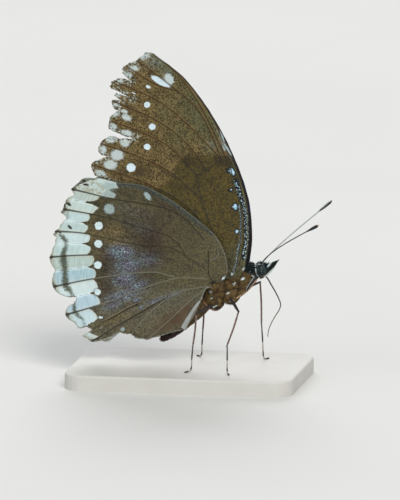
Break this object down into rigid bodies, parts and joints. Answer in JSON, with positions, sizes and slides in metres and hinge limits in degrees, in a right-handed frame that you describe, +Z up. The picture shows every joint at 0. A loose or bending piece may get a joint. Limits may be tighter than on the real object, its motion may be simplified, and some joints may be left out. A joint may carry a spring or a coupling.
{
  "type": "great eggfly butterfly model",
  "caption": "Life-size still model of a worn great eggfly butterfly standing on a low flat base, wings closed over its back, feelers spread and proboscis lowered.",
  "frame": {"origin": "middle of the underside of the flat base, on the body's plane of symmetry", "axes": "+X the way the head points, +Z up, +Y towards the animal's left side"},
  "size_m": [0.0536, 0.03, 0.0629],
  "materials": {
    "wing": "dry scaled membrane, olive brown with white marks",
    "body": "short dark brown fur and scales with white dots",
    "eye": "dark faceted gloss",
    "limb": "dark horn with fine scales",
    "base": "plain matt off-white"
  },
  "bodies": {
    "root": {"head": "body", "eye_right": "eye", "eye_left": "eye", "palp_right": "body", "palp_left": "body", "proboscis": "limb", "antenna_right": "limb", "antenna_left": "limb", "thorax": "body", "abdomen": "body", "foreleg_right": "limb", "foreleg_left": "limb", "midleg_right": "limb", "midleg_left": "limb", "hindleg_right": "limb", "hindleg_left": "limb", "forewing_right": "wing", "forewing_left": "wing", "hindwing_right": "wing", "hindwing_left": "wing", "stand_base": "base"}
  },
  "joints": []
}
